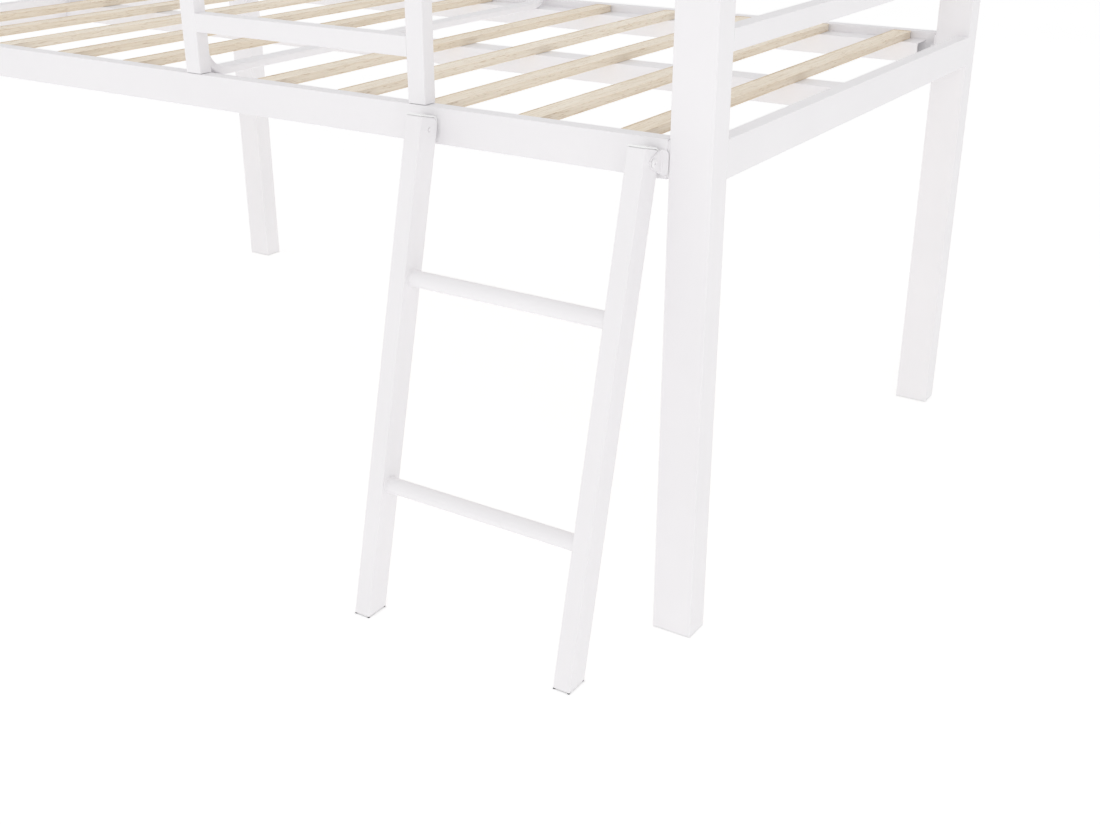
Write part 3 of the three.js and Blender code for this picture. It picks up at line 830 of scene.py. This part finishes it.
def guard_welds():
    """Welds where the guard bars meet the posts, on the side that faces the bed."""
    for node in front_guard_bars + back_guard_bars:
        low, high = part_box(node)
        y = high.y if node in front_guard_bars else low.y
        upright_welds(node, [(low.x, y), (high.x, y)], Vector((0, 1, 0)))
    for name, end in ends.items():
        for node in (f"{name}_lower_guard_bar", f"{name}_upper_guard_rail"):
            low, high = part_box(node)
            x = low.x if end > 0 else high.x
            upright_welds(node, [(x, low.y), (x, high.y)], Vector((1, 0, 0)))


# Ladder, drawn in its own frame: the origin on the pivot, z up along the stiles, y towards the bed

pivot = Vector(frame["joints"][0]["pos_m"])
rung_step = middle_of("ladder_rung_upper") - middle_of("ladder_rung_lower")
ladder_lean = math.atan2(rung_step.y, rung_step.z)
ladder_place = Matrix.Translation(pivot) @ Matrix.Rotation(-ladder_lean, 4, "X")


def level_at(height):
    """For a height above the floor, the ladder frame's z as a function of its y."""
    return lambda y: (height - pivot.z + y * math.sin(ladder_lean)) / math.cos(ladder_lean)


def stile_piece(name):
    """A stile: cut level at the foot and rounded at the top's rear corner, under its cap."""
    node = f"ladder_stile_{name}"
    low, high = box_in(node, ladder_place)
    cap_high = box_in(f"ladder_cap_{name}", ladder_place)[1]
    centre_y = cap_high.y - top_round
    centre_z = cap_high.z - top_round
    radius = high.z - centre_z
    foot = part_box(node)[0].z

    def top(y):
        from_centre = min(max(y - centre_y, 0), radius)
        return centre_z + math.sqrt(radius ** 2 - from_centre ** 2)

    middle_x = (low.x + high.x) / 2
    middle_y = (low.y + high.y) / 2

    def ring_at(inset, height):
        size_x = high.x - low.x - 2 * inset
        size_y = high.y - low.y - 2 * inset
        outline = rounded_outline(size_x, size_y, stile_corner - inset, splits=24)
        moved = [point + Vector((middle_x, middle_y)) for point in outline]
        return ring(moved, height)

    shape = bmesh.new()
    skin(shape, [
        ring_at(0, level_at(foot + rim_ease)),
        ring_at(0, lambda y: top(y) - rim_ease),
        ring_at(rim_ease, top),
        ring_at(tube_wall, top),
        ring_at(tube_wall, level_at(foot)),
        ring_at(rim_ease, level_at(foot)),
    ], closed=True)
    bolt_hole = (pivot_hole_radius, Vector((pivot.x + middle_x, pivot.y, pivot.z)), 2 * (high.x - low.x))
    finish_piece(f"fine_{node}", shape, paint, ladder_place, "ladder", [node], [bolt_hole])


def cap_piece(name):
    """A thin cap along a stile's top, turned down over the rear corner, with its plug below."""
    node = f"ladder_cap_{name}"
    low, high = box_in(node, ladder_place)
    middle_x = (low.x + high.x) / 2
    centre_y = high.y - top_round
    centre_z = high.z - top_round

    def width_at(y):
        """The stile's width at a y near its front or rear face, where its corners are rounded."""
        from_end = min(y - low.y, high.y - y, stile_corner)
        return high.x - low.x - 2 * (stile_corner - math.sqrt(
            max(stile_corner ** 2 - (stile_corner - from_end) ** 2, 0)))

    def section(y, z, slope, width):
        """The cap's cross-section about (y, z), square to a path that falls off by the slope."""
        outward = Vector((0, math.sin(slope), math.cos(slope)))
        outline = rounded_outline(width, cap_thick, 0.3 * cap_thick, steps=4)
        return [Vector((middle_x + p.x, y, z)) + p.y * outward for p in outline]

    sections = []
    flat_z = high.z - cap_thick / 2
    # Sections lie closer together towards the front face, where the corner turns fastest
    for share in (0.0, 0.04, 0.12, 0.25, 0.45, 0.7, 1.0):
        y = low.y + share * stile_corner
        sections.append(section(y, flat_z, 0, width_at(y)))
    middle_radius = top_round - cap_thick / 2
    steps = 14
    for i in range(steps + 1):
        slope = cap_turn * i / steps
        outer_y = centre_y + top_round * math.sin(slope)
        sections.append(section(
            centre_y + middle_radius * math.sin(slope),
            centre_z + middle_radius * math.cos(slope),
            slope,
            width_at(outer_y),
        ))
    shape = bmesh.new()
    skin(shape, sections)
    plug_front = low.y + tube_wall + touch_gap
    plug_size = Vector((high.x - low.x - 2 * (tube_wall + touch_gap), centre_y - plug_front))
    plug_outline = rounded_outline(plug_size.x, plug_size.y, stile_corner - tube_wall)
    moved = [p + Vector((middle_x, (centre_y + plug_front) / 2)) for p in plug_outline]
    skin(shape, [ring(moved, low.z), ring(moved, flat_z)])
    finish_piece(f"fine_{node}", shape, white_plastic, ladder_place, "ladder", [node])


def drawn_in(outline, size):
    """An outline whose sides stand back between its corners."""
    points = []
    for point in outline:
        from_corner = (Vector((abs(point.x), abs(point.y))) - size / 2).length
        recess = pad_recess * min(max(from_corner / pad_lobe - 1, 0), 1)
        to_side = size.x / 2 - abs(point.x)
        to_end = size.y / 2 - abs(point.y)
        if to_side < to_end:
            points.append(Vector((point.x - math.copysign(recess, point.x), point.y)))
        else:
            points.append(Vector((point.x, point.y - math.copysign(recess, point.y))))
    return points


def pad_piece(name):
    """The dark pad under a stile. It shows at the corners, and its plug goes up inside the tube."""
    node = f"ladder_pad_{name}"
    stile_low, stile_high = box_in(f"ladder_stile_{name}", ladder_place)
    size = stile_high - stile_low
    middle = (stile_low + stile_high) / 2

    def ring_at(inset, height, shaped=lambda outline, size: outline):
        inner = size.xy - 2 * Vector((inset, inset))
        outline = rounded_outline(inner.x, inner.y, stile_corner - inset, splits=24)
        return ring([p + middle.xy for p in shaped(outline, inner)], level_at(height))

    edge = 0.25 * pad_thick
    shape = bmesh.new()
    skin(shape, [
        ring_at(edge, 0, drawn_in),
        ring_at(0, edge, drawn_in),
        ring_at(0, pad_thick - edge, drawn_in),
        ring_at(edge, pad_thick, drawn_in),
    ])
    stem = tube_wall + touch_gap
    skin(shape, [
        ring_at(stem, pad_thick / 2),
        ring_at(stem, pad_plug - plug_ease),
        ring_at(stem + plug_ease, pad_plug),
    ])
    finish_piece(f"fine_{node}", shape, pad_plastic, ladder_place, "ladder", [node])


def rung_piece(name):
    """A round rung, welded to both stiles."""
    node = f"ladder_rung_{name}"
    low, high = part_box(node)
    radius = (high.z - low.z) / 2
    half = (high.x - low.x) / 2
    shape = bmesh.new()
    skin(shape, [
        ring(round_outline(radius, rung_steps), -half + rim_ease),
        ring(round_outline(radius, rung_steps), half - rim_ease),
        ring(round_outline(radius - rim_ease, rung_steps), half),
        ring(round_outline(radius - tube_wall, rung_steps), half),
        ring(round_outline(radius - tube_wall, rung_steps), -half),
        ring(round_outline(radius - rim_ease, rung_steps), -half),
    ], closed=True)
    place = Matrix.Translation(middle_of(node)) @ turned["x"]
    finish_piece(f"fine_{node}", shape, paint, place, "ladder", [node])
    for end, direction in ends.items():
        weld = bmesh.new()
        points = [Vector((p.x, p.y, direction * half)) for p in round_outline(radius, 150)]
        bead(weld, points, Vector((0, 0, 1)), radius=rung_bead, closed=True)
        finish_piece(f"weld_rung_{name}_{end}", weld, paint, place, "ladder")


def ladder_pieces():
    for name in ends:
        stile_piece(name)
        cap_piece(name)
        pad_piece(name)
    for name in ("upper", "lower"):
        rung_piece(name)


# Ladder brackets and pivots


def bracket_piece(name, end):
    """An angle bracket folded from a strip: a plate on the rail and an ear that tapers to the bolt."""
    node = f"ladder_bracket_{name}"
    low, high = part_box(node)
    middle_z = (low.z + high.z) / 2
    half_height = (high.z - low.z) / 2
    closer = touch_gap - ear_gap
    thick = bracket_thick + closer
    inner = low.x - closer if end > 0 else high.x + closer
    plate_length = high.x - low.x + closer
    bend = 0.75 * thick
    middle = thick / 2
    bolt = Vector((pivot.y - high.y, pivot.z - middle_z))

    def reach_at(y, up):
        """The ear's edge above (1) or below (-1) a y: its nose is round and its sides are straight."""
        corner = Vector((0, up * half_height)) - bolt
        slope = math.atan2(corner.y, corner.x) + up * math.acos(bracket_nose / corner.length)
        touching = bolt + bracket_nose * Vector((math.cos(slope), math.sin(slope)))
        if y > touching.x:
            return touching.y + (up * half_height - touching.y) * (y - touching.x) / -touching.x
        across = min(abs(y - bolt.x), bracket_nose)
        return bolt.y + up * math.sqrt(bracket_nose ** 2 - across ** 2)

    # The strip's path from the plate's end, round the bend and along the ear: place, turn and edges.
    # Its sections lie closer together towards both ends, where the corners turn fastest.
    shares = (0.0, 0.03, 0.1, 0.2, 0.35, 0.55, 0.78, 1.0)
    path = []
    for share in shares:
        from_corner = (1 - share) * bracket_corner
        half = half_height - bracket_corner + math.sqrt(bracket_corner ** 2 - from_corner ** 2)
        path.append((plate_length - share * bracket_corner, -middle, 0, half, -half))
    for i in range(7):
        turn = math.pi / 2 * i / 6
        x = middle + bend - bend * math.sin(turn)
        y = -middle - bend + bend * math.cos(turn)
        path.append((x, y, turn, reach_at(y, 1), reach_at(y, -1)))
    nose = bolt.x - bracket_nose
    depths = [bolt.x * (0.25 + 0.15 * i) for i in range(6)]
    depths += [nose + share * bracket_nose for share in reversed(shares)]
    for y in sorted(depths, reverse=True):
        path.append((middle, y, math.pi / 2, reach_at(y, 1), reach_at(y, -1)))
    sections = []
    for x, y, turn, top, bottom in path:
        outward = Vector((-math.sin(turn), math.cos(turn), 0))
        half = max((top - bottom) / 2, 2 * rim_ease)
        outline = rounded_outline(thick, 2 * half, rim_ease, steps=2)
        lifted = Vector((x, y, (top + bottom) / 2))
        sections.append([lifted + p.x * outward + Vector((0, 0, p.y)) for p in outline])
    shape = bmesh.new()
    skin(shape, sections)
    place = Matrix.Translation((inner, high.y, middle_z)) @ Matrix.Scale(end, 4, (1, 0, 0))
    hole = (pivot_hole_radius, Vector((inner + end * middle, pivot.y, pivot.z)), 4 * bracket_thick)
    finish_piece(f"fine_{node}", shape, paint, place, nodes=[node], holes=[hole])
    weld = bmesh.new()
    for z in (low.z, high.z):
        start = Vector((inner + end * 3 * bracket_thick, high.y, z))
        finish = start + Vector((end * 2 * bracket_thick, 0, 0))
        bead(weld, path_between(start, finish), Vector((0, 1, 0)), radius=bracket_bead)
    finish_piece(f"weld_bracket_{name}", weld, paint)


def pivot_bolt(name, end):
    """A button-head bolt with a hexagon socket, its head on the outer side of the bracket's ear."""
    node = f"pivot_bolt_{name}"
    low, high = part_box(node)
    head_top = high.x if end > 0 else low.x
    tip_x = low.x if end > 0 else high.x
    seat = head_top - end * button_thick
    shank_length = abs(tip_x - seat)
    # The dome from its seat up, as shares of its height and of its radius
    head = [
        (0.0, 0.96), (0.08, 1.0), (0.3, 1.0), (0.45, 0.975), (0.62, 0.91), (0.78, 0.80), (0.9, 0.67),
        (0.97, 0.55), (1.0, 0.45),
    ]
    rings = [
        ring(round_outline(pivot_shank_radius - bolt_tip, bolt_steps), -shank_length),
        ring(round_outline(pivot_shank_radius, bolt_steps), -shank_length + bolt_tip),
        ring(round_outline(pivot_shank_radius, bolt_steps), 0),
    ]
    rings += [ring(round_outline(r * button_radius, bolt_steps), h * button_thick) for h, r in head]
    rings.append(ring(hexagon_outline(socket_radius), button_thick - socket_ease))
    rings.append(ring(hexagon_outline(socket_radius), button_thick - socket_depth))
    shape = bmesh.new()
    skin(shape, rings)
    middle = (low + high) / 2
    place = Matrix.Translation((seat, middle.y, middle.z)) @ Matrix.Scale(end, 4, (1, 0, 0)) @ turned["x"]
    finish_piece(f"fine_{node}", shape, paint, place, "ladder", [node])


def pivot_nut(name):
    """A hexagon nut inside a stile, chamfered on both faces, with its bore."""
    node = f"pivot_nut_{name}"
    low, high = box_in(node, ladder_place)
    thick = high.x - low.x
    flat_radius = pivot_hexagon_radius * math.cos(math.pi / 6)
    chamfer = 0.1 * thick
    half = thick / 2
    outer = [
        (-half, round_outline(flat_radius * 0.94, bolt_steps)),
        (-half + 0.5 * chamfer, round_outline(flat_radius, bolt_steps)),
        (-half + 1.6 * chamfer, hexagon_outline(pivot_hexagon_radius, flat_radius * 1.08)),
        (-half + 2.8 * chamfer, hexagon_outline(pivot_hexagon_radius)),
    ]
    mirrored = [(-z, outline) for z, outline in reversed(outer)]
    bore = [
        (half, round_outline(nut_mouth_radius, bolt_steps)),
        (half - nut_mouth_depth, round_outline(nut_bore_radius, bolt_steps)),
        (-half + nut_mouth_depth, round_outline(nut_bore_radius, bolt_steps)),
        (-half, round_outline(nut_mouth_radius, bolt_steps)),
    ]
    shape = bmesh.new()
    skin(shape, [ring(outline, z) for z, outline in outer + mirrored + bore], closed=True)
    place = ladder_place @ Matrix.Translation((low + high) / 2) @ turned["x"]
    finish_piece(f"fine_{node}", shape, steel, place, "ladder", [node])


def pivots():
    for name, end in ends.items():
        bracket_piece(name, end)
        pivot_bolt(name, end)
        pivot_nut(name)


post_pieces()
straight_tubes()
plugs()
deck_rails()
stitch_welds()
slats()
cross_beam()
guard_welds()
ladder_pieces()
pivots()

# Floor, light and camera

floor_reach = 60  # Half the floor's width, so that its edge is never seen


def pale_floor():
    material, shader, place = new_material("Pale floor")
    drift = noise(material, place, 0.7, 2)
    tone = ramp(material, drift, [(0.3, grey(0.955)), (0.7, grey(0.965))])
    link(material, tone, shader.inputs["Base Color"])
    shader.inputs["Roughness"].default_value = 0.9
    shader.inputs["Specular IOR Level"].default_value = 0.1
    shader.inputs["Emission Color"].default_value = (1, 1, 1, 1)
    shader.inputs["Emission Strength"].default_value = 0.21
    shape = bmesh.new()
    outline = rounded_outline(2 * floor_reach, 2 * floor_reach, floor_reach / 2)
    shape.faces.new([shape.verts.new((p.x, p.y, 0)) for p in outline])
    mesh = bpy.data.meshes.new("floor")
    shape.to_mesh(mesh)
    shape.free()
    mesh.materials.append(material)
    floor = bpy.data.objects.new("floor", mesh)
    bpy.context.scene.collection.objects.link(floor)


def soft_world():
    """An even white surround. Its light changes from the horizon to overhead."""
    world = bpy.data.worlds.new("Soft surround")
    world.use_nodes = True
    bpy.context.scene.world = world
    nodes = world.node_tree.nodes
    background = next(node for node in nodes if node.type == "BACKGROUND")
    split = nodes.new("ShaderNodeSeparateXYZ")
    link(world, nodes.new("ShaderNodeTexCoord").outputs["Generated"], split.inputs["Vector"])
    stops = [(0.0, grey(0.63)), (0.3, grey(0.80)), (0.65, grey(0.84)), (1.0, grey(0.83))]
    link(world, ramp(world, split.outputs["Z"], stops), background.inputs["Color"])


def soft_light(name, place, target, size, power):
    light = bpy.data.lights.new(name, "AREA")
    light.shape = "SQUARE"
    light.size = size
    light.energy = power
    lamp = bpy.data.objects.new(name, light)
    lamp.location = place
    lamp.rotation_euler = (Vector(target) - Vector(place)).to_track_quat("-Z", "Y").to_euler()
    bpy.context.scene.collection.objects.link(lamp)


def camera():
    data = bpy.data.cameras.new("camera")
    data.sensor_fit = "HORIZONTAL"
    data.sensor_width = 36
    data.lens = camera_lens
    viewer = bpy.data.objects.new("camera", data)
    viewer.location = camera_place
    viewer.rotation_euler = (camera_tilt, 0, camera_turn)
    bpy.context.scene.collection.objects.link(viewer)
    bpy.context.scene.camera = viewer


pale_floor()
soft_world()
soft_light("key", (3.2, -4.6, 2.6), (0.2, 0, 0.6), 3.0, 25)
soft_light("fill", (-3.4, -3.4, 2.2), (0, 0, 0.6), 3.0, 5)
camera()
bpy.context.scene.view_settings.view_transform = "Standard"
